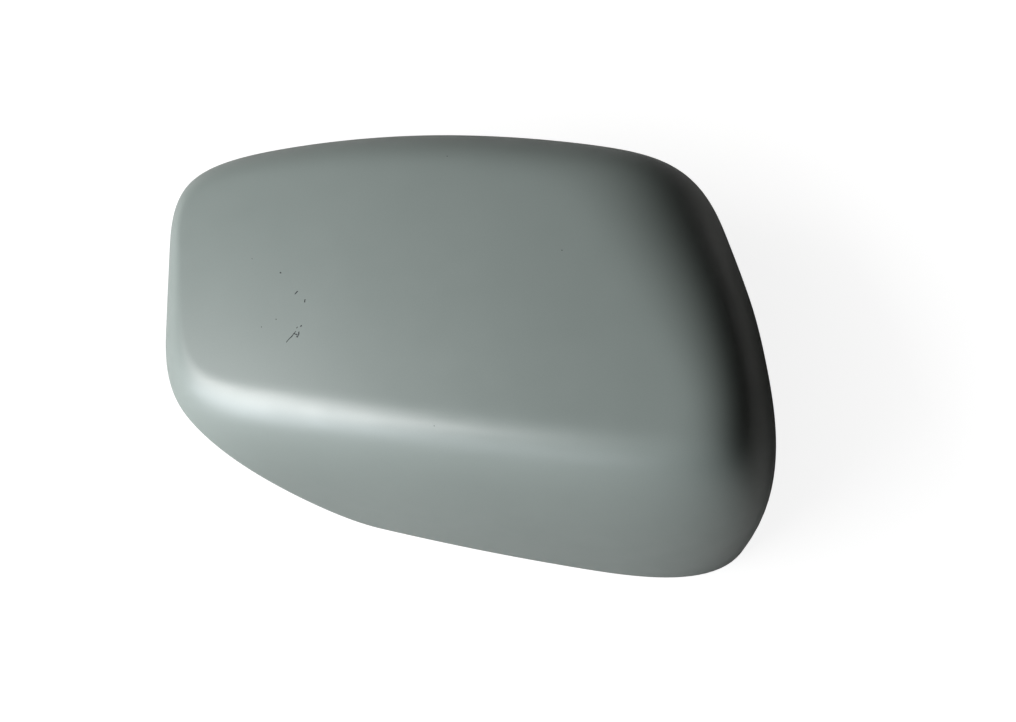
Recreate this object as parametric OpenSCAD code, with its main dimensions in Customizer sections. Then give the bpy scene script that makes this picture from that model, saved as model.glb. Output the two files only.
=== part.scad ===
// Wing mirror cover: one thin moulded shell that snaps over the front of a door mirror.
// It lies on its open rim, with the outer skin up. X runs from the inboard end, where the
// mirror arm leaves, to the outboard end. Y runs from the lower edge to the upper edge.

/* [Rim outline] */
// Length of the upper edge, between the corners of the outline
top_len = 215.5; // [195:0.5:245]
// How much lower the outboard upper corner sits than the inboard one
top_fall = 5; // [-10:1:15]
// Height of the outboard end, between the corners of the outline
outboard_h = 148.5; // [135:0.5:165]
// How far the outboard end leans out from top to bottom
outboard_lean = 27; // [0:1:35]
// Height of the inboard end, between the corners of the outline
inboard_h = 121.5; // [112:0.5:135]
// How far the inboard end leans in from top to bottom
inboard_lean = 17; // [0:1:30]
// Reach of the soft lower inboard corner along its sides
lower_inboard_soft = 51; // [40:1:60]
// Reach of the soft lower outboard corner along its sides
lower_outboard_soft = 78; // [50:1:90]
// Reach of the soft upper outboard corner along its sides
upper_outboard_soft = 30; // [20:1:50]
// Reach of the soft upper inboard corner along its sides
upper_inboard_soft = 49; // [35:1:60]
// Outward bow of the lower edge
lower_bow = 5; // [0:0.5:10]
// Outward bow of the outboard end
outboard_bow = 6; // [0:0.5:12]
// Outward bow of the upper edge
upper_bow = 15.5; // [4:0.5:18]
// Outward bow of the inboard end
inboard_bow = 0.5; // [0:0.5:8]

/* [Shoulders] */
// Width of the shoulder along the inboard end, seen from the front
inboard_shoulder = 13.5; // [8:0.5:20]
// Width of the lower shoulder at its inboard end
lower_shoulder_in = 22; // [16:0.5:34]
// Width of the lower shoulder at its outboard end
lower_shoulder_out = 30; // [20:0.5:36]
// Width of the outboard shoulder at its lower end
outboard_shoulder_low = 44; // [28:0.5:50]
// Width of the outboard shoulder at its upper end
outboard_shoulder_high = 66; // [45:0.5:72]
// Width of the upper shoulder at its outboard end
upper_shoulder_out = 31; // [20:0.5:36]
// Width of the upper shoulder at its inboard end
upper_shoulder_in = 25.5; // [18:0.5:34]
// Roundness of the lower shoulder, where 2 is a plain ellipse and more is fuller
lower_round = 2.6; // [2.1:0.1:3.2]
// Roundness of the outboard shoulder
outboard_round = 2.5; // [2.1:0.1:3.2]
// Roundness of the upper shoulder
upper_round = 2.6; // [2.1:0.1:3.2]
// Roundness of the inboard shoulder
inboard_round = 2.3; // [2.1:0.1:3.2]
// Lean of the side walls over their full height, so that the shell leaves its mould
wall_draft = 2; // [1:0.5:6]

/* [Front face] */
// Depth of the shell at the middle of the face, from the rim plane to the outer skin
face_depth = 75.5; // [60:0.5:85]
// Slope of the face along its length in degrees, deeper towards the outboard end
face_slope = 12.8; // [8:0.2:15]
// Slope of the face across its height in degrees, deeper towards the lower edge
face_tip = 2.4; // [-3:0.1:4]
// Radius of the crown along the length of the face
crown_len_r = 910; // [600:10:1500]
// Radius of the crown across the height of the face
crown_high_r = 645; // [450:5:1200]
// Reach of the soft lower inboard corner of the face
face_lower_in_soft = 28; // [18:1:35]
// Reach of the soft lower outboard corner of the face
face_lower_out_soft = 28; // [18:1:35]
// Reach of the soft upper outboard corner of the face
face_upper_out_soft = 14; // [12:1:30]
// Reach of the soft upper inboard corner of the face
face_upper_in_soft = 26; // [15:1:35]

/* [Arm cut-out] */
// Distance from the lower inboard corner back to where the rim starts to rise
cut_reach = 67; // [45:1:80]
// Length over which the rim rises to its full height
cut_run = 70; // [60:1:90]
// Direction of the rise in degrees, from along the lower edge towards the corner
cut_turn = 23; // [10:1:45]
// Depth of skin left between the face and the raised rim
cut_skin = 7.5; // [5:0.5:15]

/* [Wall] */
// Thickness of the wall
wall = 2.6; // [2:0.1:4]
// Thickness of the locating lip at the rim
lip = 1.5; // [1:0.1:1.9]
// Height of the locating lip
lip_h = 5; // [3:0.5:8]

/* [Snap catches] */
// Width of a snap catch along the wall
catch_w = 12; // [8:0.5:16]
// Height of a snap catch
catch_h = 7; // [5:0.5:10]
// Reach of a snap catch from the inside of the wall
catch_reach = 3; // [2:0.1:4]
// Flat tip of a snap catch, between its lead-in and its catching side
catch_tip = 1; // [0.5:0.1:2]
// Gap between the lip and the lower end of a snap catch
catch_gap = 2; // [1:0.5:6]

/* [Locating pegs] */
// Radius of a locating peg
peg_r = 3; // [2:0.1:4]
// Length of the plain part of a peg, which enters the mirror frame
peg_len = 14; // [8:0.5:20]
// Radius of the shank above a peg, which stops the mirror frame
shank_r = 4.5; // [4.2:0.1:6]
// Height of the peg tips above the rim plane
peg_tip_z = 24; // [18:0.5:34]
// Distance between the two pegs along the length of the cover
peg_pitch = 116; // [100:1:124]
// Distance of the pegs above the middle of the outline
peg_y = 12; // [-10:1:20]
// Reach of the four fins that brace a peg, from its axis
fin_reach = 9; // [6:0.5:12]
// Thickness of the fins
fin_t = 1.6; // [1.2:0.1:2.4]

/* [Stiffening ribs] */
// Number of ribs across the inside of the face
rib_count = 4; // [2:1:4]
// Distance between ribs
rib_pitch = 28; // [20:1:30]
// Height of a rib below the inside of the face
rib_h = 5; // [3:0.5:8]
// Thickness of a rib
rib_t = 1.6; // [1.2:0.1:2.4]
// Length of a rib
rib_len = 76; // [50:1:84]

/* [Hidden] */

// Fineness of the skin: steps in each stretch of an outline, rings up the wall and over the face
stretch_steps = 6;
wall_rings = 15;
face_rings = 7;
// Share of the rim's bow that the outline of the face keeps
face_bow_share = 0.6;
// Longest share of a side that its two soft corners may take together
soft_limit = 0.96;
// Spread of the rings up the wall, closer together where the shoulder bends
ring_spread = 0.83;
// Largest share of the wall above the rim that the lip may take
lip_limit = 0.4;
// Places of the snap catches around the outline, as shares of one turn from the lower inboard corner
catch_places = [0.14, 0.21, 0.33, 0.42, 0.57, 0.66];
smooth = 48;

function between(a, b, t) = a + (b - a) * t;
function total(list) = [for (p = list) 1] * list;
function limit(v, low, high) = min(max(v, low), high);
function ease(s) = s * s * (3 - 2 * s);

// Guide points of one side of an outline: its first corner, two soft points and the bowed middle
function side(a, b, soft_a, soft_b, bow) =
    let (
        run = norm(b - a),
        out = [(b - a)[1], -(b - a)[0]] / run,
        room = min(soft_limit * run / (soft_a + soft_b), 1),
        from = soft_a * room / run,
        to = 1 - soft_b * room / run
    )
    [for (t = [0, from, (from + to) / 2, to]) between(a, b, t) + out * bow * 4 * t * (1 - t)];

// Guide points of a closed outline of four corners, lower inboard corner first, anticlockwise
function outline(corner, soft, bow) = [
    for (k = [0:3]) each side(corner[k], corner[(k + 1) % 4], soft[k], soft[(k + 1) % 4], bow[k])
];

// One value for each guide point, from one value for each side
function along_sides(v) = [
    for (k = [0:3]) each [(v[(k + 3) % 4] + v[k]) / 2, v[k], v[k], v[k]]
];

// Point i of the smooth closed curve that the guide points lead
function curve(guide, i) =
    let (
        n = len(guide),
        k = floor(i / stretch_steps),
        t = (i % stretch_steps) / stretch_steps,
        w0 = (1 - t) ^ 3,
        w1 = 3 * t ^ 3 - 6 * t ^ 2 + 4,
        w2 = -3 * t ^ 3 + 3 * t ^ 2 + 3 * t + 1,
        w3 = t ^ 3
    )
    (w0 * guide[(k + n - 1) % n] + w1 * guide[k % n] + w2 * guide[(k + 1) % n] + w3 * guide[(k + 2) % n]) / 6;

// Corners of the rim outline, lower inboard first, about their own middle
rim_from_top = [
    [inboard_lean, -inboard_h],
    [top_len + outboard_lean, -top_fall - outboard_h],
    [top_len, -top_fall],
    [0, 0]
];
rim_corner = [for (p = rim_from_top) p - total(rim_from_top) / 4];
face_corner = [
    rim_corner[0] + [inboard_shoulder, lower_shoulder_in],
    rim_corner[1] + [-outboard_shoulder_low, lower_shoulder_out],
    rim_corner[2] + [-outboard_shoulder_high, -upper_shoulder_out],
    rim_corner[3] + [inboard_shoulder, -upper_shoulder_in]
];
rim_soft = [lower_inboard_soft, lower_outboard_soft, upper_outboard_soft, upper_inboard_soft];
face_soft = [face_lower_in_soft, face_lower_out_soft, face_upper_out_soft, face_upper_in_soft];
bow = [lower_bow, outboard_bow, upper_bow, inboard_bow];
rounds = along_sides([lower_round, outboard_round, upper_round, inboard_round]);

rim_guide = outline(rim_corner, rim_soft, bow);
face_guide = outline(face_corner, face_soft, bow * face_bow_share);
around = len(rim_guide) * stretch_steps;
rim_line = [for (i = [0:around - 1]) curve(rim_guide, i)];
face_line = [for (i = [0:around - 1]) curve(face_guide, i)];
round_line = [for (i = [0:around - 1]) curve(rounds, i)];
face_mid = total(face_line) / around;

// Height of the outer face above the rim plane at a place in plan
function face_z(p) =
    face_depth + tan(face_slope) * p[0] - tan(face_tip) * p[1]
    - p[0] ^ 2 / (2 * crown_len_r) - p[1] ^ 2 / (2 * crown_high_r);

// Height of the rim, which rises at the arm cut-out
cut_way = [cos(cut_turn), sin(cut_turn)];
function rim_z(p) =
    let (s = limit((cut_reach + (rim_corner[0] - p) * cut_way) / cut_run, 0, 1))
    (face_z(p) - cut_skin) * ease(s);

// Point of the outer wall on line i, at a share h of the height of the face
function wall_point(i, h) =
    let (
        width = norm(face_line[i] - rim_line[i]),
        lean = min(wall_draft / width, 1),
        power = round_line[i],
        bend = 1 - max(1 - h ^ power, 0) ^ (1 / power),
        p = between(rim_line[i], face_line[i], lean * h + (1 - lean) * bend)
    )
    [p[0], p[1], h * face_z(p)];

// Shares of the height at which line i has its rings, the first at the rim and the second at the lip
function ring_heights(i) =
    let (
        depth = face_z(rim_line[i]),
        start = rim_z(rim_line[i]) / depth,
        lip_share = min(lip_h / depth / (1 - start), lip_limit),
        from = asin(lip_share ^ (1 / ring_spread))
    )
    [start, for (j = [0:wall_rings]) start + (1 - start) * sin(between(from, 90, j / wall_rings)) ^ ring_spread];

// Outer skin: for each line around the outline its points from the rim to the edge of the face,
// and then in towards the middle of the face
outer = [
    for (i = [0:around - 1]) [
        for (h = ring_heights(i)) wall_point(i, h),
        for (j = [1:face_rings])
            let (p = between(face_line[i], face_mid, j / (face_rings + 1)))
            [p[0], p[1], face_z(p)]
    ]
];
rings = len(outer[0]);
outer_mid = [face_mid[0], face_mid[1], face_z(face_mid)];

// Outward direction of the skin at ring j of line i, from the points around it
function skin_way(i, j) =
    let (
        next = (i + 1) % around,
        last = (i + around - 1) % around,
        above = j + 1 < rings ? outer[i][j + 1] : outer_mid,
        below = outer[i][max(j - 1, 0)],
        n = cross(outer[next][j] - outer[last][j], above - below)
    )
    n / norm(n);

// Point inside the skin at a depth t below ring j of line i, never under the rim plane
function inside(i, j, t) =
    let (p = outer[i][j] - skin_way(i, j) * t)
    [p[0], p[1], max(p[2], 0)];

// Inner skin: thinner at the lip, with a step to the full wall above it
inner = [
    for (i = [0:around - 1]) [
        inside(i, 0, lip),
        inside(i, 1, lip),
        for (j = [1:rings - 1]) inside(i, j, wall)
    ]
];
inner_mid = outer_mid - [0, 0, wall];

// Middle of the outer edge in plan, which becomes the origin
edge_x = [for (line = outer) line[0][0]];
edge_y = [for (line = outer) line[0][1]];
middle = [(min(edge_x) + max(edge_x)) / 2, (min(edge_y) + max(edge_y)) / 2];

// The bare shell: outer skin, inner skin and the band of the rim between them
module shell() {
    inner_rings = rings + 1;
    outer_count = around * rings;
    inner_count = around * inner_rings;
    points = [
        for (line = outer) each line,
        for (line = inner) each line,
        outer_mid,
        inner_mid
    ];
    outer_top = outer_count + inner_count;
    inner_top = outer_top + 1;
    faces = [
        for (i = [0:around - 1])
            let (a = i * rings, b = (i + 1) % around * rings)
            for (j = [0:rings - 2])
                each [[a + j, b + j + 1, b + j], [a + j, a + j + 1, b + j + 1]],
        for (i = [0:around - 1])
            let (a = (i + 1) * rings - 1, b = ((i + 1) % around + 1) * rings - 1)
            [a, outer_top, b],
        for (i = [0:around - 1])
            let (a = outer_count + i * inner_rings, b = outer_count + (i + 1) % around * inner_rings)
            for (j = [0:inner_rings - 2])
                each [[a + j, b + j, b + j + 1], [a + j, b + j + 1, a + j + 1]],
        for (i = [0:around - 1])
            let (a = outer_count + (i + 1) * inner_rings - 1,
                 b = outer_count + ((i + 1) % around + 1) * inner_rings - 1)
            [a, b, inner_top],
        for (i = [0:around - 1])
            let (a = i * rings, b = (i + 1) % around * rings,
                 c = outer_count + i * inner_rings,
                 d = outer_count + (i + 1) % around * inner_rings)
            each [[a, b, d], [a, d, c]]
    ];
    polyhedron(points = points, faces = faces, convexity = 8);
}

// One snap catch: a wedge on the inside of the wall, rooted in the middle of the wall
module snap_catch(place) {
    i = round(place * around);
    low = rim_z(rim_line[i]) + lip_h + catch_gap;
    root = wall_point(i, (low + catch_h / 2) / face_z(rim_line[i]));
    way = skin_way(i, 1);
    face_in = -wall - catch_reach;
    translate([root[0], root[1], low])
        rotate([90, 0, atan2(way[1], way[0])])
            linear_extrude(catch_w, center = true)
                polygon([
                    [-wall / 2, 0],
                    [-wall, 0],
                    [face_in, catch_reach],
                    [face_in, catch_reach + catch_tip],
                    [-wall, catch_h],
                    [-wall / 2, catch_h]
                ]);
}

// Space above the middle of the face wall around a place in plan, tilted as the face is there
module above_mid_wall(p, r) {
    rise = tan(face_slope) - p[0] / crown_len_r;
    fall = tan(face_tip) + p[1] / crown_high_r;
    translate([p[0], p[1], face_z(p) - wall / 2])
        rotate([-atan(fall), -atan(rise), 0])
            translate([-r, -r, 0])
                cube(2 * r);
}

// One locating peg: a plain pin on a shank with four fins, rooted in the middle of the face wall
module locating_peg(x) {
    shank_z = peg_tip_z + peg_len;
    translate([x, peg_y, peg_tip_z])
        cylinder(h = peg_len + wall, r = peg_r, $fn = smooth);
    difference() {
        translate([x, peg_y, shank_z])
            cylinder(h = face_z([x, peg_y]) - shank_z, r = shank_r, $fn = smooth);
        above_mid_wall([x, peg_y], 2 * shank_r);
    }
    for (turn = [0, 90])
        let (way = [cos(turn), sin(turn)])
        translate([x, peg_y, 0])
            rotate([90, 0, turn])
                linear_extrude(fin_t, center = true)
                    polygon([
                        [-shank_r / 2, shank_z + fin_t],
                        [shank_r / 2, shank_z + fin_t],
                        [fin_reach, face_z([x, peg_y] + fin_reach * way) - wall / 2],
                        [-fin_reach, face_z([x, peg_y] - fin_reach * way) - wall / 2]
                    ]);
}

// One rib across the inside of the face, which follows the crown
module rib(x) {
    steps = 8;
    ys = [for (k = [0:steps]) rib_len * (k / steps - 0.5)];
    top = [for (y = ys) [y, face_z([x, y]) - wall / 2]];
    foot = [for (k = [steps:-1:0]) top[k] - [0, wall / 2 + min(rib_h, rib_len / 2 - abs(ys[k]))]];
    translate([x, 0, 0])
        rotate([90, 0, 90])
            linear_extrude(rib_t, center = true)
                polygon(concat(top, foot));
}

module mirror_cover() {
    color("#7f8b87")
        translate([-middle[0], -middle[1], 0])
            union() {
                shell();
                for (place = catch_places) snap_catch(place);
                for (side = [-1, 1]) locating_peg(face_mid[0] + side * peg_pitch / 2);
                for (k = [0:rib_count - 1]) rib(face_mid[0] + (k - (rib_count - 1) / 2) * rib_pitch);
            }
}

mirror_cover();
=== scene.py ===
# %% [markdown]
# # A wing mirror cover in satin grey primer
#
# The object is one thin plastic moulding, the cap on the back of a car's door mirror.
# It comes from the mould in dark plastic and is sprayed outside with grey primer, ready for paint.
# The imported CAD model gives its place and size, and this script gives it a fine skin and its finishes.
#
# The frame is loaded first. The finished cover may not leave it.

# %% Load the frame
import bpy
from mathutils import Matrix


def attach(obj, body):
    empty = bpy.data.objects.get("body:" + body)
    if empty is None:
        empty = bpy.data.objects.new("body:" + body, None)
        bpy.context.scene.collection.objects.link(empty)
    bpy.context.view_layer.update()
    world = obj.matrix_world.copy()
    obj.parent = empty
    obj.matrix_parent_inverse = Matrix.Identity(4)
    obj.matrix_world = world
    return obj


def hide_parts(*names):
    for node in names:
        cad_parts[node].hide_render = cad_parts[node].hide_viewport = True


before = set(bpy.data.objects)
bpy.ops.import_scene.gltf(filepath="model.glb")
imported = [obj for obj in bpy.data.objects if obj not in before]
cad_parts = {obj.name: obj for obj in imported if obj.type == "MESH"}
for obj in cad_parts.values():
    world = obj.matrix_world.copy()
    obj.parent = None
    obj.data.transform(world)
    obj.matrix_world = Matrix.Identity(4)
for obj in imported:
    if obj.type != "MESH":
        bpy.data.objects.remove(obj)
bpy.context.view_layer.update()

import math
import random

import bmesh
import bpy
import numpy as np
from mathutils import Matrix, Vector
from mathutils.kdtree import KDTree

scene = bpy.context.scene

# %% [markdown]
# ## Camera
#
# The picture was taken from close by, which makes the near, outboard corner large.
# A camera could be aimed by eye, but the outline of a smooth body shows every error, so
# this one is placed by what it looks at, how far away it is, and three angles.
# The lens is written for Blender's 36 mm wide sensor.

# %% Camera
LOOK_AT = Vector((0.01864, -0.01268, 0.035))
DISTANCE = 0.409
ELEVATION = math.radians(67.0)
AZIMUTH = math.radians(2.09)
ROLL = math.radians(1.63)
LENS = 40.27


def place_camera():
    back = Vector((
        math.sin(AZIMUTH) * math.cos(ELEVATION),
        -math.cos(AZIMUTH) * math.cos(ELEVATION),
        math.sin(ELEVATION),
    ))
    camera = bpy.data.objects.new("camera", bpy.data.cameras.new("camera"))
    camera.data.lens = LENS
    turn = back.to_track_quat("Z", "Y").to_matrix().to_4x4() @ Matrix.Rotation(ROLL, 4, "Z")
    camera.matrix_world = Matrix.Translation(LOOK_AT + back * DISTANCE) @ turn
    scene.collection.objects.link(camera)
    scene.camera = camera
    return camera


camera = place_camera()
print("camera at", [round(v, 3) for v in camera.matrix_world.translation])

# %% [markdown]
# ## Sizes of the shell
#
# A maker draws such a cover as two closed outlines. One is the rim, where the side walls end.
# The other, smaller and higher up, is the edge of the front face. The shoulder runs between them.
# Each outline has four soft corners, and each of its sides bows out a little.
# The sizes are in millimetres, as on a drawing, and are turned to metres only at the end.

# %% Sizes
MM = 0.001
# Corners of the rim in plan, measured from the upper inboard corner: lower inboard first, anticlockwise
RIM_CORNERS = np.array([[17.0, -121.5], [242.5, -153.5], [215.5, -5.0], [0.0, 0.0]])
# How far the corners of the face lie inside those of the rim
SHOULDERS = np.array([[13.5, 22.0], [-44.0, 30.0], [-66.0, -31.0], [13.5, -25.5]])
RIM_SOFT = [51, 78, 30, 49]
FACE_SOFT = [28, 28, 14, 26]
# Bow of the lower, outboard, upper and inboard side, and what the face keeps of it
BOWS = np.array([5.0, 6.0, 15.5, 0.5])
FACE_BOW_SHARE = 0.6
# Fullness of the shoulder on each side: 2 is an ellipse, and more is fuller
ROUNDS = [2.6, 2.5, 2.6, 2.3]
WALL_DRAFT = 2.0
FACE_DEPTH = 75.5
FACE_SLOPE = math.tan(math.radians(12.8))
FACE_TIP = math.tan(math.radians(2.4))
CROWN_LENGTH_R = 910.0
CROWN_HEIGHT_R = 645.0
CUT_REACH = 67.0
CUT_RUN = 70.0
CUT_TURN = math.radians(23)
CUT_SKIN = 7.5
WALL = 2.6
LIP = 1.5
LIP_H = 5.0

rim_corners = RIM_CORNERS - RIM_CORNERS.mean(axis=0)
face_corners = rim_corners + SHOULDERS

# %% [markdown]
# ## From corners to smooth outlines
#
# Blender has curve objects, but their points would then have to be read back for the skin.
# It is simpler to work the outline out: each side gives four guide points, and a uniform cubic
# B-spline follows the guide. A B-spline never kinks, so the highlight that runs along the shoulder
# stays unbroken, which is what the eye tests first on a car's body.

# %% Smooth outlines
STRETCH_STEPS = 20


def side_guide(a, b, soft_a, soft_b, bow):
    run = np.linalg.norm(b - a)
    out = np.array([(b - a)[1], -(b - a)[0]]) / run
    first, last = soft_a / run, 1 - soft_b / run
    shares = (0, first, (first + last) / 2, last)
    return [a + (b - a) * t + out * bow * 4 * t * (1 - t) for t in shares]


def outline_guide(corners, soft, bows):
    sides = range(len(corners))
    return np.array([
        point
        for k in sides
        for point in side_guide(corners[k], corners[(k + 1) % 4], soft[k], soft[(k + 1) % 4], bows[k])
    ])


def along_sides(values):
    return np.array([
        v for k in range(4) for v in ((values[k - 1] + values[k]) / 2, values[k], values[k], values[k])
    ])[:, None]


def smooth_loop(guide):
    t = (np.arange(STRETCH_STEPS) / STRETCH_STEPS)[None, :, None]
    p0, p1, p2, p3 = [np.roll(guide, shift, axis=0)[:, None, :] for shift in (1, 0, -1, -2)]
    points = (
        (1 - t) ** 3 * p0
        + (3 * t**3 - 6 * t**2 + 4) * p1
        + (-3 * t**3 + 3 * t**2 + 3 * t + 1) * p2
        + t**3 * p3
    ) / 6
    return points.reshape(len(guide) * STRETCH_STEPS, -1)


rim_line = smooth_loop(outline_guide(rim_corners, RIM_SOFT, BOWS))
face_line = smooth_loop(outline_guide(face_corners, FACE_SOFT, BOWS * FACE_BOW_SHARE))
round_line = smooth_loop(along_sides(ROUNDS))[:, 0]
face_mid = face_line.mean(axis=0)
AROUND = len(rim_line)
print("points around:", AROUND, "rim spans", np.ptp(rim_line, axis=0).round(1), "mm")

# %% [markdown]
# ## The face, the shoulder and the cut-out
#
# The front face is a very shallow crown: a plane that slopes, less a little for each square of the
# distance from the middle. The shoulder is a quarter of a superellipse, whose bend fades in and out
# softly, where a plain radius would show a line where it starts. At the lower inboard corner the rim
# rises in a soft S, to let the mirror's arm pass.

# %% Heights and wall
def face_z(x, y):
    crown = x**2 / (2 * CROWN_LENGTH_R) + y**2 / (2 * CROWN_HEIGHT_R)
    return FACE_DEPTH + FACE_SLOPE * x - FACE_TIP * y - crown


def face_way(x, y):
    """Outward direction of the face at a place in plan."""
    rise_x = FACE_SLOPE - x / CROWN_LENGTH_R
    rise_y = -FACE_TIP - y / CROWN_HEIGHT_R
    way = np.stack([-rise_x, -rise_y, np.ones_like(rise_x)], axis=-1)
    return way / np.linalg.norm(way, axis=-1, keepdims=True)


def inner_z(x, y):
    """Height of the inside of the face, where the wall is measured square to the skin."""
    return face_z(x, y) - WALL / face_way(np.asarray(x, float), np.asarray(y, float))[..., 2]


def rim_rise(points):
    way = np.array([math.cos(CUT_TURN), math.sin(CUT_TURN)])
    s = np.clip((CUT_REACH + (rim_corners[0] - points) @ way) / CUT_RUN, 0, 1)
    return (face_z(points[:, 0], points[:, 1]) - CUT_SKIN) * s * s * (3 - 2 * s)


def wall_at(h):
    """Points of the outer wall, one on each line around, at a share h of the face's height."""
    width = np.linalg.norm(face_line - rim_line, axis=1)
    lean = WALL_DRAFT / width
    bend = 1 - np.clip(1 - h**round_line, 0, 1) ** (1 / round_line)
    plan = rim_line + (face_line - rim_line) * (lean * h + (1 - lean) * bend)[:, None]
    return np.column_stack([plan, h * face_z(plan[:, 0], plan[:, 1])])


def wall_way(h):
    """Outward direction of the outer wall at the same points, from points close by."""
    step = 1e-4
    along = np.roll(wall_at(h), -1, axis=0) - np.roll(wall_at(h), 1, axis=0)
    up = wall_at(np.minimum(h + step, 1)) - wall_at(np.maximum(h - step, 0))
    way = np.cross(along, up)
    return way / np.linalg.norm(way, axis=1, keepdims=True)


rim_depth = face_z(rim_line[:, 0], rim_line[:, 1])
rim_share = rim_rise(rim_line) / rim_depth
edge = wall_at(rim_share)
middle = (edge[:, :2].min(axis=0) + edge[:, :2].max(axis=0)) / 2
print("rim rises to", round(float(edge[:, 2].max()), 1), "mm at the arm cut-out")

# %% [markdown]
# ## Cross-section of the shell
#
# The real edge isn't sharp: the mould leaves it with a small radius, and that radius catches a thin
# line of light. So each line of the skin is one long section: from the middle of the face out over
# the shoulder, down the wall, around the two rounded edges of the rim, and back up inside.
# Just inside the rim the wall steps in to a thinner lip, which locates the cover on its housing.

# %% Section
WALL_RINGS = 44
FACE_RINGS = 36
INNER_RINGS = 26
# How the rings of a wall are spread: at 1 they would follow a plain sine
RING_SPREAD = 0.83
EDGE_R = 0.4
EDGE_STEPS = 4
STEP_H = 0.6
# How far above the rim the way up the wall is read
LOOK_UP = 1.0
# Most of the wall's height that the lip, and the step above it, may take where the wall is low
LIP_SHARE = 0.4
STEP_SHARE = 0.1


def wall_heights(count, start_share):
    """Shares of the height for the rings of a wall, closer together where the shoulder bends."""
    steps = np.linspace(0, 1, count + 1)
    start = np.degrees(np.arcsin(np.clip(start_share, 0, 1) ** (1 / RING_SPREAD)))
    return [np.sin(np.radians(start + (90 - start) * s)) ** RING_SPREAD for s in steps]


def above_rim(millimetres):
    """Share of the whole height for a height above the rim, at each line around."""
    return rim_share + millimetres / rim_depth


def edge_round(corner, up, across, turned):
    """A quarter round in a corner, from the wall to the band of the rim, or back when turned."""
    angles = np.linspace(0, math.pi / 2, EDGE_STEPS + 1)
    if turned:
        angles = angles[::-1]
    centre = corner + EDGE_R * (up + across)
    return [centre - EDGE_R * (across * math.cos(a) + up * math.sin(a)) for a in angles]


def on_floor(points):
    """Keeps the inner edge from passing below the rim plane."""
    points = points.copy()
    points[:, 2] = np.maximum(points[:, 2], 0)
    return points


def unit(v):
    return v / np.linalg.norm(v, axis=1, keepdims=True)


def outer_rings():
    rings = []
    for j in range(FACE_RINGS - 1, 0, -1):
        plan = face_line + (face_mid - face_line) * (j / FACE_RINGS)
        rings.append(np.column_stack([plan, face_z(plan[:, 0], plan[:, 1])]))
    heights = [rim_share + (1 - rim_share) * h for h in wall_heights(WALL_RINGS, 0.0)]
    rings += [wall_at(h) for h in heights[:0:-1]]
    return rings


def rim_rings():
    corner_out = edge
    corner_in = on_floor(edge - wall_way(rim_share) * LIP)
    up = unit(wall_at(above_rim(LOOK_UP)) - edge)
    across = unit(corner_in - corner_out)
    return (
        edge_round(corner_out, up, across, False)
        + edge_round(corner_in, up, -across, True)
    )


def inner_rings():
    rings = []
    lip_share = np.minimum(LIP_H / rim_depth / (1 - rim_share), LIP_SHARE)
    lip_top = rim_share + (1 - rim_share) * lip_share
    for s in (0.5, 1.0):
        h = rim_share + (lip_top - rim_share) * s
        rings.append(wall_at(h) - wall_way(h) * LIP)
    step_share = lip_share + (1 - lip_share) * np.minimum(STEP_H / rim_depth / (1 - lip_share), STEP_SHARE)
    for s in wall_heights(INNER_RINGS, step_share):
        h = rim_share + (1 - rim_share) * s
        rings.append(wall_at(h) - wall_way(h) * WALL)
    for j in range(1, FACE_RINGS):
        plan = face_line + (face_mid - face_line) * (j / FACE_RINGS)
        top = np.column_stack([plan, face_z(plan[:, 0], plan[:, 1])])
        rings.append(top - face_way(plan[:, 0], plan[:, 1]) * WALL)
    return rings


outer = outer_rings()
rim = rim_rings()
inner = inner_rings()
sections = outer + rim + inner
print("rings:", len(outer), "outside,", len(rim), "on the rim,", len(inner), "inside")

# %% [markdown]
# ## Skin mesh
#
# The rings are joined line by line into one closed mesh, with a single point at each middle.
# It could be a face thickened by a Solidify modifier, but that would give no lip and no round edge.
# Each polygon carries the slot of its finish: primer outside, bare plastic within.

# %% Mesh of the shell
PRIMER, BARE = 0, 1
# The finer skin bulges a few hundredths of a millimetre past the CAD's flats, so it is drawn in by this
DRAWN_IN = 0.9993


def to_frame(points):
    """Millimetres about the corners to metres about the middle of the part."""
    moved = np.asarray(points, float) - np.array([middle[0], middle[1], 0])
    return moved * DRAWN_IN * MM


def new_object(name, points, faces, slots=None, smooth=True):
    mesh = bpy.data.meshes.new(name)
    mesh.from_pydata([tuple(p) for p in points], [], faces)
    if slots is not None:
        mesh.polygons.foreach_set("material_index", slots)
    mesh.polygons.foreach_set("use_smooth", [smooth] * len(mesh.polygons))
    mesh.update()
    obj = bpy.data.objects.new(name, mesh)
    scene.collection.objects.link(obj)
    return obj


def shell_mesh():
    top = [face_mid[0], face_mid[1], face_z(*face_mid)]
    under = top - face_way(np.float64(face_mid[0]), np.float64(face_mid[1])) * WALL
    count = len(sections)
    points = np.concatenate([np.stack(sections, axis=1).reshape(-1, 3), [top], [under]])
    first_pole, last_pole = AROUND * count, AROUND * count + 1
    faces, slots = [], []
    for i in range(AROUND):
        a, b = i * count, (i + 1) % AROUND * count
        faces.append((first_pole, a, b))
        slots.append(PRIMER)
        for j in range(count - 1):
            faces.append((a + j, a + j + 1, b + j + 1, b + j))
            slots.append(PRIMER if j < len(outer) + EDGE_STEPS * 2 + 1 else BARE)
        faces.append((a + count - 1, last_pole, b + count - 1))
        slots.append(BARE)
    return new_object("mirror_cover_moulding", to_frame(points), faces, slots)


cover = shell_mesh()
print("shell:", len(cover.data.vertices), "points,", len(cover.data.polygons), "faces")

# %% [markdown]
# ## What is moulded on inside
#
# Ribs, pegs and catches grow out of the inside of the wall. In a real tool each has a small fillet at
# its root and a slight taper, so that the plastic fills it and lets go of the steel. Two small
# builders make them all: a lathe for round things and a sweep for long ones. Both take their depth
# from the inside of the face, so that each root follows the crown.

# %% Lathe and sweep
LATHE_STEPS = 40
# Roots end in the middle of the wall. Depths run down from its inside, so this one is negative
ROOT = -WALL / 2


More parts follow.
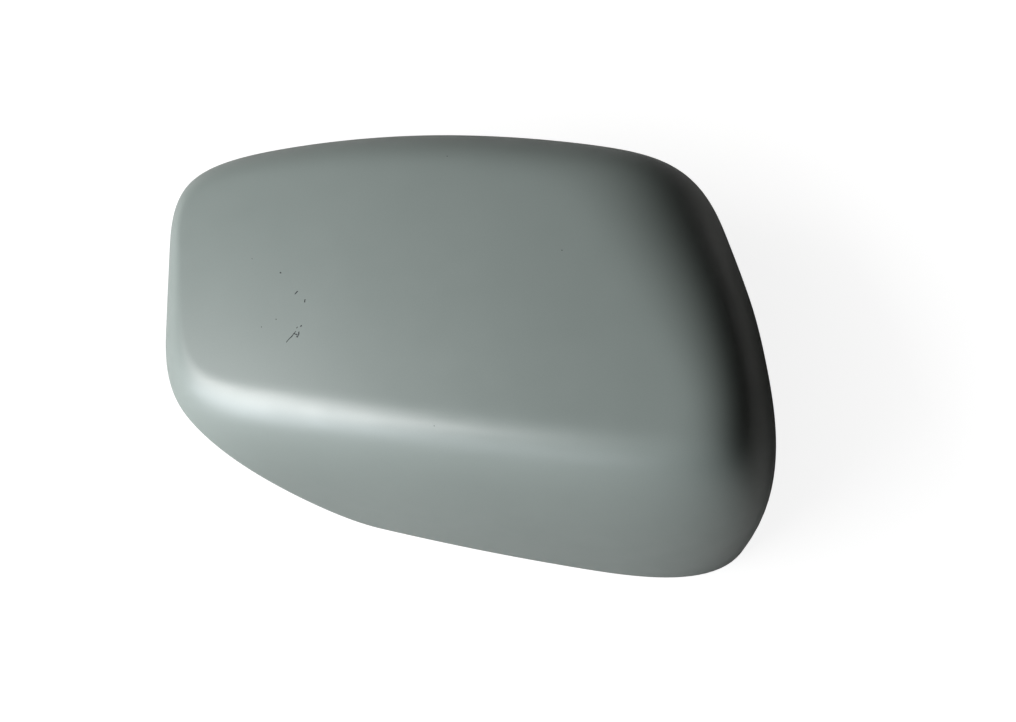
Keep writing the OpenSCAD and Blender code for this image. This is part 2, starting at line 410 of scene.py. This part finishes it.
def closed_mesh(name, points, faces):
    piece = new_object(name, to_frame(points), faces, [BARE] * len(faces))
    bm = bmesh.new()
    bm.from_mesh(piece.data)
    bmesh.ops.recalc_face_normals(bm, faces=bm.faces)
    bm.to_mesh(piece.data)
    bm.free()
    return piece


def lathe(name, x, y, profile):
    """profile: (radius, height, from_face). A height from the face is a depth below its inside."""
    points, faces = [], []
    turns = [2 * math.pi * k / LATHE_STEPS for k in range(LATHE_STEPS)]
    for radius, height, from_face in profile:
        for turn in turns:
            px, py = x + radius * math.cos(turn), y + radius * math.sin(turn)
            pz = float(inner_z(px, py)) - height if from_face else height
            points.append((px, py, pz))
    rows = len(profile)
    for j in range(rows - 1):
        for k in range(LATHE_STEPS):
            a, b = j * LATHE_STEPS + k, j * LATHE_STEPS + (k + 1) % LATHE_STEPS
            faces.append((a, b, b + LATHE_STEPS, a + LATHE_STEPS))
    faces.append(tuple(range(LATHE_STEPS)))
    faces.append(tuple(range((rows - 1) * LATHE_STEPS, rows * LATHE_STEPS)))
    return closed_mesh(name, points, faces)


def sweep(name, stations):
    """stations: one list of points for each cut across the piece, all of the same length."""
    size = len(stations[0])
    points = [p for station in stations for p in station]
    faces = []
    for s in range(len(stations) - 1):
        for k in range(size):
            a, b = s * size + k, s * size + (k + 1) % size
            faces.append((a, b, b + size, a + size))
    faces.append(tuple(range(size)))
    faces.append(tuple(range((len(stations) - 1) * size, len(stations) * size)))
    return closed_mesh(name, points, faces)


print("lathe steps:", LATHE_STEPS)

# %% [markdown]
# ## Ribs
#
# Four low ribs cross the inside of the face and keep it from drumming. The section has a flared root
# and a soft foot, and its depth runs out to almost nothing at both ends.

# %% Ribs
RIB_COUNT = 4
RIB_PITCH = 28.0
RIB_H = 5.0
RIB_T = 1.6
RIB_LEN = 76.0
RIB_CUTS = 40
# Fillet at the root: how far it stands out from the side, and how deep below the wall
RIB_FILLET = [(0.7, ROOT), (0.7, 0.0), (0.25, 0.15), (0.05, 0.6)]
RIB_TAPER = 0.1
RIB_FOOT = 0.4
# What is left of the depth at the very ends
RIB_END = 0.05


def rib(x, name):
    half = RIB_T / 2
    flank = [(half + out, depth) for out, depth in RIB_FILLET]
    flank += [(half - RIB_TAPER, RIB_H - RIB_FOOT), (half - RIB_FOOT, RIB_H)]
    section = flank + [(-dx, depth) for dx, depth in flank[::-1]]
    stations = []
    for k in range(RIB_CUTS + 1):
        y = RIB_LEN * (k / RIB_CUTS - 0.5)
        room = max(min(RIB_H, RIB_LEN / 2 - abs(y)), RIB_END)
        share = room / RIB_H
        stations.append([
            (x + dx, y, float(inner_z(x + dx, y)) - (depth * share if depth > 0 else depth))
            for dx, depth in section
        ])
    return sweep(name, stations)


rib_places = [face_mid[0] + (k - (RIB_COUNT - 1) / 2) * RIB_PITCH for k in range(RIB_COUNT)]
features = [rib(x, f"rib_{k}") for k, x in enumerate(rib_places)]
print("ribs at", [round(x, 1) for x in rib_places])

# %% [markdown]
# ## Locating pegs
#
# Two pegs find their holes in the mirror frame before the catches snap. Each is a plain pin with a
# lead-in at its tip, on a thicker shank that stops the frame, braced by four thin fins.

# %% Pegs
PEG_R = 3.0
PEG_LEN = 14.0
PEG_TIP_Z = 24.0
SHANK_R = 4.5
PEG_PITCH = 116.0
PEG_Y = 12.0
FIN_REACH = 9.0
FIN_T = 1.6
FIN_FOOT = 0.4
FIN_SOFT = 0.2
# Lead-in of the pin: how far inside its side, and how high above its tip
PEG_LEAD_IN = [(0.9, 0.0), (0.3, 0.4), (0.0, 1.2)]
PEG_NECK = 0.2
SHANK_SOFT = 0.3
# Fillet at the shank's root: how far it stands out, and how deep below the wall
SHANK_FILLET = [(0.0, 1.6), (0.2, 0.7), (0.7, 0.2), (1.4, 0.0), (1.4, ROOT)]


def peg(x, name):
    shank_z = PEG_TIP_Z + PEG_LEN
    pin = [(PEG_R - inside, PEG_TIP_Z + above, False) for inside, above in PEG_LEAD_IN]
    shoulder = [
        (PEG_R, shank_z - SHANK_SOFT, False), (PEG_R + PEG_NECK, shank_z, False),
        (SHANK_R - SHANK_SOFT, shank_z, False), (SHANK_R, shank_z + SHANK_SOFT, False),
    ]
    root = [(SHANK_R + out, depth, True) for out, depth in SHANK_FILLET]
    return lathe(name, x, PEG_Y, pin + shoulder + root)


def fin(x, turn, name):
    """A fin across the shank, wide at the face and running out to the shank's foot."""
    way = np.array([math.cos(turn), math.sin(turn)])
    side = np.array([-way[1], way[0]])
    foot_z = PEG_TIP_Z + PEG_LEN + FIN_T
    corners = [(-SHANK_R / 2, None), (SHANK_R / 2, None), (FIN_REACH, FIN_FOOT), (FIN_REACH, ROOT),
               (-FIN_REACH, ROOT), (-FIN_REACH, FIN_FOOT)]
    half = FIN_T / 2
    cuts = ((-half, FIN_SOFT), (-half + FIN_SOFT, 0.0), (half - FIN_SOFT, 0.0), (half, FIN_SOFT))
    stations = []
    for offset, shrink in cuts:
        cut = []
        for reach, depth in corners:
            reach -= math.copysign(shrink, reach)
            px, py = np.array([x, PEG_Y]) + way * reach + side * offset
            pz = foot_z + shrink if depth is None else float(inner_z(px, py)) - depth
            cut.append((px, py, pz))
        stations.append(cut)
    return sweep(name, stations)


for k, side in enumerate((-1, 1)):
    peg_x = face_mid[0] + side * PEG_PITCH / 2
    features.append(peg(peg_x, f"peg_{k}"))
    features += [fin(peg_x, turn, f"fin_{k}_{n}") for n, turn in enumerate((0, math.pi / 2))]
print("pegs at", [round(face_mid[0] + s * PEG_PITCH / 2, 1) for s in (-1, 1)])

# %% [markdown]
# ## Snap catches
#
# Six wedges on the inside of the wall snap behind the housing's edge. Each slopes at 45 degrees on
# both sides, below to ride over that edge and above so that the cover can be pulled off again, and
# its edges are as soft as a milled steel pocket gives.

# %% Catches
CATCH_W = 12.0
CATCH_H = 7.0
CATCH_REACH = 3.0
CATCH_TIP = 1.0
CATCH_GAP = 2.0
CATCH_SOFT = 0.25
CATCH_SIDE_SOFT = 0.4
# Places around the outline, as shares of the whole way
CATCH_PLACES = [0.14, 0.21, 0.33, 0.42, 0.57, 0.66]


def catch(place, name):
    i = round(place * AROUND)
    low = edge[i, 2] + LIP_H + CATCH_GAP
    h = np.full(AROUND, (low + CATCH_H / 2) / rim_depth[i])
    root = wall_at(h)[i]
    way = wall_way(rim_share + LIP_H / rim_depth)[i][:2]
    way = way / np.linalg.norm(way)
    side = np.array([-way[1], way[0]])
    tip = -WALL - CATCH_REACH
    profile = [
        (-WALL / 2, 0), (-WALL, 0), (tip + CATCH_SOFT, CATCH_REACH - CATCH_SOFT), (tip, CATCH_REACH),
        (tip, CATCH_REACH + CATCH_TIP), (tip + CATCH_SOFT, CATCH_REACH + CATCH_TIP + CATCH_SOFT),
        (-WALL, CATCH_H), (-WALL / 2, CATCH_H),
    ]
    half, soft = CATCH_W / 2, CATCH_SIDE_SOFT
    stations = []
    for offset, shrink in ((-half, soft), (-half + soft, 0.0), (half - soft, 0.0), (half, soft)):
        cut = []
        for reach, z in profile:
            reach = max(reach, tip + shrink)
            cut.append((*(root[:2] + way * reach + side * offset), low + z))
        stations.append(cut)
    return sweep(name, stations)


features += [catch(place, f"catch_{k}") for k, place in enumerate(CATCH_PLACES)]
print("catches:", len(CATCH_PLACES))

# %% [markdown]
# ## Marks of the mould
#
# Round witness marks show where the ejector pins pushed the cover out, and a small nub is left where
# the plastic came in. The marks are a tenth or two of a millimetre high and the nub one millimetre,
# and they make the inside read as a real moulding instead of a smooth bowl.

# %% Ejector marks and gate
EJECTOR_R = 4.0
# Raised ring of a mark: how far inside its edge, and how deep below the wall
EJECTOR_RING = [(0.0, ROOT), (0.0, 0.12), (0.15, 0.2), (0.5, 0.2), (0.8, 0.12)]
EJECTOR_PLACES = [(-88, -12), (-90, 30), (-44, 36), (10, 30), (-44, -26), (12, -38), (48, -14), (58, -38)]
GATE_PLACE = (-16, 2)
# Nub of the gate: its radius, and how deep below the wall
GATE_NUB = [(2.6, ROOT), (2.6, 0.0), (1.5, 0.3), (1.2, 1.0)]


def ejector_mark(x, y, name):
    return lathe(name, x, y, [(EJECTOR_R - inside, depth, True) for inside, depth in EJECTOR_RING])


features += [ejector_mark(x, y, f"ejector_{k}") for k, (x, y) in enumerate(EJECTOR_PLACES)]
features.append(lathe("gate_nub", *GATE_PLACE, [(radius, depth, True) for radius, depth in GATE_NUB]))
print("moulded-on shapes:", len(features))

# %% [markdown]
# ## One moulding
#
# The real cover is one piece of plastic, so the shapes are joined by Boolean unions and not left
# overlapping. The Manifold solver is quick and gives a closed mesh. Afterwards every edge that turns
# by more than 32 degrees is marked sharp, and the rest shade smooth.

# %% Union
SHARP = math.radians(32)


def union(target, tool):
    modifier = target.modifiers.new("join", "BOOLEAN")
    modifier.operation = "UNION"
    modifier.solver = "MANIFOLD"
    modifier.object = tool
    evaluated = target.evaluated_get(bpy.context.evaluated_depsgraph_get())
    mesh = bpy.data.meshes.new_from_object(evaluated)
    target.modifiers.clear()
    old = target.data
    if len(mesh.vertices) == len(old.vertices):
        print("not joined:", tool.name)
    target.data = mesh
    bpy.data.meshes.remove(old)
    bpy.data.objects.remove(tool)


def mark_sharp(obj):
    bm = bmesh.new()
    bm.from_mesh(obj.data)
    for e in bm.edges:
        e.smooth = len(e.link_faces) == 2 and e.calc_face_angle(0) < SHARP
    for f in bm.faces:
        f.smooth = True
    bm.to_mesh(obj.data)
    open_edges = sum(not e.is_manifold for e in bm.edges)
    bm.free()
    return open_edges


for feature in features:
    union(cover, feature)
print("open edges:", mark_sharp(cover), "triangles:", sum(len(p.vertices) - 2 for p in cover.data.polygons))

# %% [markdown]
# ## How far the primer reaches inside
#
# The cover hangs on a jig while it is sprayed, so the primer curls around the rim and fades out on
# the inside. Each point of the mesh keeps its distance from the rim as an attribute, and the finish
# of the inside fades with it.

# %% Distance from the rim
def store_rim_distance(obj):
    tree = KDTree(AROUND)
    for k, point in enumerate(to_frame(edge)):
        tree.insert(Vector(point), k)
    tree.balance()
    distances = [tree.find(v.co)[2] for v in obj.data.vertices]
    layer = obj.data.attributes.new("rim_distance", "FLOAT", "POINT")
    layer.data.foreach_set("value", distances)
    return distances


rim_distances = store_rim_distance(cover)
print("farthest point from the rim:", round(max(rim_distances) / MM, 1), "mm")

# %% [markdown]
# ## Colours and nodes
#
# Colours are written as sRGB hex values, as they would be picked from a paint chart, and one
# function turns them to the linear values that Blender works in. One more function adds a node with
# its settings and links, which keeps each material short enough to read.

# %% Material helpers
# Layers of finer noise that are laid over the first one
FEW_LAYERS = 1.0
MORE_LAYERS = 3.0


def linear(hex_colour):
    channels = [int(hex_colour[k : k + 2], 16) / 255 for k in (1, 3, 5)]
    return tuple(c / 12.92 if c <= 0.04045 else ((c + 0.055) / 1.055) ** 2.4 for c in channels) + (1.0,)


def add_node(tree, kind, inputs=None, **settings):
    node = tree.nodes.new(kind)
    for name, value in settings.items():
        setattr(node, name, value)
    for name, value in (inputs or {}).items():
        if isinstance(value, bpy.types.NodeSocket):
            tree.links.new(value, node.inputs[name])
        else:
            node.inputs[name].default_value = value
    return node


def new_material(name):
    material = bpy.data.materials.new(name)
    material.use_nodes = True
    tree = material.node_tree
    return material, tree, tree.nodes["Principled BSDF"]


print("middle grey, #808080, in linear light:", [round(c, 3) for c in linear("#808080")])

# %% [markdown]
# ## Primer
#
# The outside is a satin two-pack primer, sprayed on. It is an opaque, slightly greenish grey whose
# highlight is broad and soft. Sprayed coats are never flat: the drops flow together into a faint
# orange peel with waves about 2 mm long, and dry mist settles on it as a fine grain, which breaks
# the highlight up a little. The shade also drifts a little where the gun overlapped.

# %% Primer
PRIMER_SHADE = "#8b9490"
PRIMER_DRIFT = "#868f8b"
PRIMER_ROUGHNESS = (0.37, 0.42)
PRIMER_IOR = 1.5
# Matched to the object: its sheen is twice what this IOR gives clear resin
PRIMER_SHEEN = 1.0
# Least and most brightness of a speck, as shares of the shade around it
SPECKLE = (0.975, 1.02)
# Noise runs from 0 to 1 but seldom leaves its middle, so only that stretch is used
SPECK_NOISE = (0.25, 0.75)
PATCH_NOISE = (0.3, 0.7)
PEEL_WAVE = 2.2 * MM
PEEL_DEPTH = 0.006 * MM
# The real grain is finer than this view can show, so it is drawn about as wide as one of its pixels
GRAIN = 0.35 * MM
GRAIN_DEPTH = 0.003 * MM
GUN_PASS = 38 * MM
GLOSS_PATCH = 9 * MM


def sprayed_primer():
    material, tree, surface = new_material("satin_grey_primer")
    place = add_node(tree, "ShaderNodeTexCoord").outputs["Object"]
    drift = add_node(
        tree, "ShaderNodeTexNoise", {"Vector": place, "Scale": 1 / GUN_PASS, "Detail": FEW_LAYERS}
    )
    speck = add_node(tree, "ShaderNodeTexNoise", {"Vector": place, "Scale": 1 / GRAIN, "Detail": FEW_LAYERS})
    patch = add_node(tree, "ShaderNodeTexNoise", {"Vector": place, "Scale": 1 / GLOSS_PATCH})
    wave = add_node(tree, "ShaderNodeTexNoise", {"Vector": place, "Scale": 1 / PEEL_WAVE})
    shade = add_node(
        tree, "ShaderNodeMix",
        {"Factor": drift.outputs["Fac"], 6: linear(PRIMER_SHADE), 7: linear(PRIMER_DRIFT)},
        data_type="RGBA",
    )
    speckle = add_node(
        tree, "ShaderNodeMapRange",
        {"Value": speck.outputs["Fac"], "From Min": SPECK_NOISE[0], "From Max": SPECK_NOISE[1],
         "To Min": SPECKLE[0], "To Max": SPECKLE[1]},
    )
    tinted = add_node(
        tree, "ShaderNodeVectorMath", {0: shade.outputs[2], "Scale": speckle.outputs["Result"]},
        operation="SCALE",
    )
    tree.links.new(tinted.outputs["Vector"], surface.inputs["Base Color"])
    gloss = add_node(
        tree, "ShaderNodeMapRange",
        {"Value": patch.outputs["Fac"], "From Min": PATCH_NOISE[0], "From Max": PATCH_NOISE[1],
         "To Min": PRIMER_ROUGHNESS[0], "To Max": PRIMER_ROUGHNESS[1]},
    )
    tree.links.new(gloss.outputs["Result"], surface.inputs["Roughness"])
    surface.inputs["IOR"].default_value = PRIMER_IOR
    surface.inputs["Specular IOR Level"].default_value = PRIMER_SHEEN
    peel = add_node(
        tree, "ShaderNodeBump", {"Height": wave.outputs["Fac"], "Strength": 1.0, "Distance": PEEL_DEPTH}
    )
    grain = add_node(
        tree, "ShaderNodeBump",
        {"Height": speck.outputs["Fac"], "Strength": 1.0, "Distance": GRAIN_DEPTH,
         "Normal": peel.outputs["Normal"]},
    )
    tree.links.new(grain.outputs["Normal"], surface.inputs["Normal"])
    return material


primer = sprayed_primer()
print("material:", primer.name, "in linear light:", [round(c, 3) for c in linear(PRIMER_SHADE)])

# %% [markdown]
# ## Bare ABS
#
# Inside, the moulding is bare dark ABS. The mould is spark-eroded there, which leaves a fine even
# matt texture. It is drawn half a millimetre wide, coarser than the real one, so that it shows.
# The primer mist thins out over the first centimetre from the rim: its edge is broken up by noise,
# because mist lands in specks.

# %% Bare plastic
BARE_SHADE = "#303335"
BARE_ROUGHNESS = 0.55
ABS_IOR = 1.54
MIST_ROUGHNESS = 0.48
MIST_REACH = 11 * MM
# Least and most of that reach, as the mist drifted
MIST_SHARES = (0.6, 1.8)
MIST_DRIFT = 14 * MM
MIST_SPECK = 0.6 * MM
# Specks less the way from the rim: bare plastic at the first value, full mist at the second
MIST_FADE = (-0.55, 0.15)
SPARK_GRAIN = 0.5 * MM
SPARK_DEPTH = 0.02 * MM


def bare_abs():
    material, tree, surface = new_material("bare_abs_with_primer_mist")
    place = add_node(tree, "ShaderNodeTexCoord").outputs["Object"]
    distance = add_node(tree, "ShaderNodeAttribute", attribute_name="rim_distance").outputs["Fac"]
    drift = add_node(tree, "ShaderNodeTexNoise", {"Vector": place, "Scale": 1 / MIST_DRIFT})
    specks = add_node(
        tree, "ShaderNodeTexNoise", {"Vector": place, "Scale": 1 / MIST_SPECK, "Detail": MORE_LAYERS}
    )
    sparks = add_node(
        tree, "ShaderNodeTexNoise", {"Vector": place, "Scale": 1 / SPARK_GRAIN, "Detail": MORE_LAYERS}
    )
    reach = add_node(
        tree, "ShaderNodeMapRange",
        {"Value": drift.outputs["Fac"],
         "To Min": MIST_REACH * MIST_SHARES[0], "To Max": MIST_REACH * MIST_SHARES[1]},
    )
    away = add_node(tree, "ShaderNodeMath", {0: distance, 1: reach.outputs["Result"]}, operation="DIVIDE")
    edge_mix = add_node(
        tree, "ShaderNodeMath", {0: specks.outputs["Fac"], 1: away.outputs[0]}, operation="SUBTRACT"
    )
    mist = add_node(
        tree, "ShaderNodeMapRange",
        {"Value": edge_mix.outputs[0], "From Min": MIST_FADE[0], "From Max": MIST_FADE[1]},
        interpolation_type="SMOOTHSTEP",
    ).outputs["Result"]
    shade = add_node(
        tree, "ShaderNodeMix", {"Factor": mist, 6: linear(BARE_SHADE), 7: linear(PRIMER_DRIFT)},
        data_type="RGBA",
    )
    tree.links.new(shade.outputs[2], surface.inputs["Base Color"])
    gloss = add_node(
        tree, "ShaderNodeMapRange", {"Value": mist, "To Min": BARE_ROUGHNESS, "To Max": MIST_ROUGHNESS}
    )
    tree.links.new(gloss.outputs["Result"], surface.inputs["Roughness"])
    surface.inputs["IOR"].default_value = ABS_IOR
    spark = add_node(
        tree, "ShaderNodeBump", {"Height": sparks.outputs["Fac"], "Strength": 1.0, "Distance": SPARK_DEPTH}
    )
    tree.links.new(spark.outputs["Normal"], surface.inputs["Normal"])
    return material


def dress(obj, finishes):
    """Gives the object its finishes, and each polygon the one that its slot number names."""
    slots = [polygon.material_index for polygon in obj.data.polygons]
    obj.data.materials.clear()
    for finish in finishes:
        obj.data.materials.append(finish)
    obj.data.polygons.foreach_set("material_index", slots)
    return slots


bare = bare_abs()
slots = dress(cover, [primer, bare])
print("material:", bare.name, "on", slots.count(BARE), "polygons, primer on", slots.count(PRIMER))

# %% [markdown]
# ## Scuffs
#
# Near the inboard end the primer is chipped: a hooked scratch, a short nick and a few dots, through
# which the dark plastic shows. A mask in the material could paint them, but lines as thin as these
# stay sharp only as shapes of their own, so each is a sliver of real mesh that lies half sunk in the
# skin. The places, found from the picture, are in millimetres from the middle of the part.

# %% Scuff marks
SCUFF_SHADE = "#171b1d"
SCUFF_DUST = "#2b3133"
SCUFF_GRAIN = 0.4 * MM
SCUFF_ROUGHNESS = 0.6
SCUFF_RISE = 0.03
# Each mark: its width in millimetres and the places it runs through
SCUFFS = [
    (0.50, [(-55.6, -22.6), (-54.8, -21.5), (-53.9, -20.6), (-53.3, -19.5), (-52.7, -18.6)]),
    (0.46, [(-53.2, -19.5), (-52.7, -19.7), (-52.2, -19.8)]),
    (0.66, [(-52.4, -19.6), (-52.0, -19.9)]),
    (0.62, [(-51.6, -18.8), (-51.4, -19.7), (-51.8, -20.7)]),
    (0.92, [(-52.0, -20.3), (-51.8, -21.0)]),
    (0.66, [(-55.2, -4.4), (-54.2, -3.3)]),
    (0.66, [(-51.1, -6.6), (-51.1, -7.8)]),
    (0.86, [(-61.9, 5.0), (-61.5, 4.5)]),
    (0.40, [(-60.7, -13.4), (-60.4, -13.7)]),
    (0.36, [(-65.5, -15.9), (-65.3, -16.4)]),
    (0.58, [(-52.7, -17.5), (-52.3, -17.0)]),
    (0.70, [(-51.4, -17.0), (-50.9, -16.6)]),
    (0.42, [(34.4, 7.8), (34.8, 7.6)]),
    (0.28, [(-73.7, 11.5), (-73.3, 11.3)]),
    (0.28, [(-7.4, 49.4), (-7.0, 49.2)]),
    (0.26, [(-2.5, -53.3), (-2.4, -53.7)]),
]
SCUFF_SPACING = 0.25
# Share of the width that an end keeps, and where on a half wave the taper starts and how far it runs
SCUFF_END = 0.35
SCUFF_WAVE = (0.12, 0.76)
# Least and most of the width along a ragged edge, and how far the mark wanders
SCUFF_RAGGED = (0.75, 1.2)
SCUFF_WANDER = 0.06


def scuff_cuts(width, places, rng):
    """Cuts across one mark: a flat diamond that tapers to its ends and wanders a little."""
    cuts = []
    route = []
    for (x0, y0), (x1, y1) in zip(places, places[1:]):
        steps = max(2, round(math.hypot(x1 - x0, y1 - y0) / SCUFF_SPACING))
        route += [(x0 + (x1 - x0) * k / steps, y0 + (y1 - y0) * k / steps) for k in range(steps)]
    route.append(places[-1])
    for k, (x, y) in enumerate(route):
        before, after = route[max(k - 1, 0)], route[min(k + 1, len(route) - 1)]
        along = np.array([after[0] - before[0], after[1] - before[1]])
        across = np.array([-along[1], along[0]]) / np.linalg.norm(along)
        s = k / (len(route) - 1)
        swell = math.sin(math.pi * (SCUFF_WAVE[0] + SCUFF_WAVE[1] * s))
        half = width / 2 * (SCUFF_END + (1 - SCUFF_END) * swell) * rng.uniform(*SCUFF_RAGGED)
        centre = np.array([x, y]) + across * rng.uniform(-SCUFF_WANDER, SCUFF_WANDER)
        raw = centre + middle
        out = face_way(np.float64(raw[0]), np.float64(raw[1]))
        base = np.array([raw[0], raw[1], face_z(raw[0], raw[1])])
        side = np.array([across[0], across[1], 0]) * half
        cuts.append([base - side, base + out * SCUFF_RISE, base + side, base - out * SCUFF_RISE])
    return cuts


def scuff_marks():
    rng = random.Random(7)
    cuts = [scuff_cuts(width, places, rng) for width, places in SCUFFS]
    marks = [sweep(f"scuff_{k}", cuts_of_one) for k, cuts_of_one in enumerate(cuts)]
    joined = marks[0]
    bm = bmesh.new()
    for mark in marks:
        bm.from_mesh(mark.data)
    bm.to_mesh(joined.data)
    bm.free()
    for mark in marks[1:]:
        bpy.data.objects.remove(mark)
    joined.name = "scuff_marks"
    return joined


def chipped_primer():
    material, tree, surface = new_material("plastic_bared_by_scuffs")
    place = add_node(tree, "ShaderNodeTexCoord").outputs["Object"]
    specks = add_node(tree, "ShaderNodeTexNoise", {"Vector": place, "Scale": 1 / SCUFF_GRAIN})
    shade = add_node(
        tree, "ShaderNodeMix",
        {"Factor": specks.outputs["Fac"], 6: linear(SCUFF_SHADE), 7: linear(SCUFF_DUST)},
        data_type="RGBA",
    )
    tree.links.new(shade.outputs[2], surface.inputs["Base Color"])
    surface.inputs["Roughness"].default_value = SCUFF_ROUGHNESS
    surface.inputs["IOR"].default_value = ABS_IOR
    return material


scuffs = scuff_marks()
scuffs.data.polygons.foreach_set("material_index", [0] * len(scuffs.data.polygons))
scuffs.data.materials.append(chipped_primer())
print("scuffs:", len(SCUFFS), "marks,", len(scuffs.data.polygons), "faces")

# %% [markdown]
# ## Floor
#
# A product picture on white needs a pale floor without a horizon. More light would bleach the cover
# too, so the floor, a plain matt sheet, is lifted for the camera alone: there it partly glows, which
# leaves the soft shadow that seats the cover. Farther off the glow rises to full white and meets the
# white of the world. Gloss sees the sheet's pale colour, but neither the glow nor the white world,
# because the satin primer would take them as light. What the sheet throws back onto the cover is the
# light of a darker, warmer one. Both keep the far side of the cover dark, as it is in the picture.

# %% Floor
FLOOR_HALF = 4000.0
# The sheet lies a little low, so that it shares no plane with the rim
FLOOR_DROP = 0.1
# The sheet as it is seen, in gloss too, and as it throws light back
FLOOR_SHOWN = "#c8c8c6"
FLOOR_BOUNCE = "#7d786c"
FLOOR_ROUGHNESS = 0.9
FLOOR_SHEEN = 0.1
# Strength of the glow, its share near the cover, and the metres between which it rises to full white
GLOW = 1.6
GLOW_SHARE = 0.55
GLOW_RISE = (0.12, 0.26)


def floor_sheet():
    sides = ((-1, -1), (1, -1), (1, 1), (-1, 1))
    corners = [(x * FLOOR_HALF, y * FLOOR_HALF, -FLOOR_DROP) for x, y in sides]
    floor = new_object("floor", np.array(corners) * MM, [(0, 1, 2, 3)], smooth=False)
    material, tree, surface = new_material("matt_white_sheet")
    surface.inputs["Roughness"].default_value = FLOOR_ROUGHNESS
    surface.inputs["Specular IOR Level"].default_value = FLOOR_SHEEN
    path = add_node(tree, "ShaderNodeLightPath")
    shown = path.outputs["Is Camera Ray"]
    for kind in ("Is Glossy Ray", "Is Transmission Ray"):
        either = add_node(tree, "ShaderNodeMath", {0: shown, 1: path.outputs[kind]}, operation="MAXIMUM")
        shown = either.outputs[0]
    colour = add_node(
        tree, "ShaderNodeMix", {"Factor": shown, 6: linear(FLOOR_BOUNCE), 7: linear(FLOOR_SHOWN)},
        data_type="RGBA",
    )
    tree.links.new(colour.outputs[2], surface.inputs["Base Color"])
    place = add_node(tree, "ShaderNodeTexCoord").outputs["Object"]
    away = add_node(tree, "ShaderNodeVectorMath", {0: place}, operation="LENGTH").outputs["Value"]
    share = add_node(
        tree, "ShaderNodeMapRange",
        {"Value": away, "From Min": GLOW_RISE[0], "From Max": GLOW_RISE[1],
         "To Min": GLOW_SHARE, "To Max": 1 / GLOW},
    )
    seen = add_node(
        tree, "ShaderNodeMath", {0: path.outputs["Is Camera Ray"], 1: share.outputs["Result"]},
        operation="MULTIPLY",
    )
    glow = add_node(tree, "ShaderNodeEmission", {"Color": (1, 1, 1, 1), "Strength": GLOW})
    blend = add_node(
        tree, "ShaderNodeMixShader", {0: seen.outputs[0], 1: surface.outputs[0], 2: glow.outputs[0]}
    )
    tree.links.new(blend.outputs[0], tree.nodes["Material Output"].inputs["Surface"])
    floor.data.materials.append(material)
    return floor


floor = floor_sheet()
print("floor spans", [round(v, 1) for v in floor.dimensions])

# %% [markdown]
# ## Light
#
# One bulb would draw a small hard spot on the shoulder. A large soft window to the left, made of a low
# part and a high part, draws the long highlight along the lower shoulder instead. A weak window stands
# behind on the left and another in front, low down. The right side is left dark, which is what makes
# the outboard shoulder turn away.

# %% Lights
ROOM_LEVEL = 0.005
PART_MIDDLE = Vector((0, 0, 0.05))
WINDOW_DISTANCE = 1.0
# The two low windows are a touch cooler than the two high ones
WHITE = "#ffffff"
COOL = "#f3f9ff"


def window(name, bearing, rise, size, power, shade):
    """A soft area light seen from the part at a bearing from +X and a rise, both in degrees."""
    light = bpy.data.lights.new(name, "AREA")
    light.shape = "RECTANGLE"
    light.size, light.size_y = size
    light.energy = power
    light.color = linear(shade)[:3]
    obj = bpy.data.objects.new(name, light)
    turn, lift = math.radians(bearing), math.radians(rise)
    way = Vector((math.cos(turn) * math.cos(lift), math.sin(turn) * math.cos(lift), math.sin(lift)))
    obj.location = PART_MIDDLE + way * WINDOW_DISTANCE
    obj.rotation_euler = way.to_track_quat("Z", "Y").to_euler()
    scene.collection.objects.link(obj)
    return obj


def room():
    world = bpy.data.worlds.new("room")
    world.use_nodes = True
    tree = world.node_tree
    grey = (ROOM_LEVEL, ROOM_LEVEL, ROOM_LEVEL, 1)
    path = add_node(tree, "ShaderNodeLightPath")
    shade = add_node(
        tree, "ShaderNodeMix", {"Factor": path.outputs["Is Camera Ray"], 6: grey, 7: (1, 1, 1, 1)},
        data_type="RGBA",
    )
    tree.links.new(shade.outputs[2], tree.nodes["Background"].inputs["Color"])
    scene.world = world


window("window_left_low", bearing=212, rise=15, size=(0.8, 0.4), power=6.2, shade=COOL)
window("window_left_high", bearing=200, rise=36, size=(0.8, 0.4), power=9.0, shade=WHITE)
window("window_back_left", bearing=172, rise=34, size=(0.5, 0.4), power=1.4, shade=WHITE)
window("window_front_low", bearing=250, rise=14, size=(0.45, 0.4), power=1.0, shade=COOL)
room()
scene.view_settings.view_transform = "Standard"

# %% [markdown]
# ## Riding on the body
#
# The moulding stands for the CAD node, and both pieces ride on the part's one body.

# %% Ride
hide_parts("mirror_cover")
for piece in (cover, scuffs):
    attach(piece, "root")
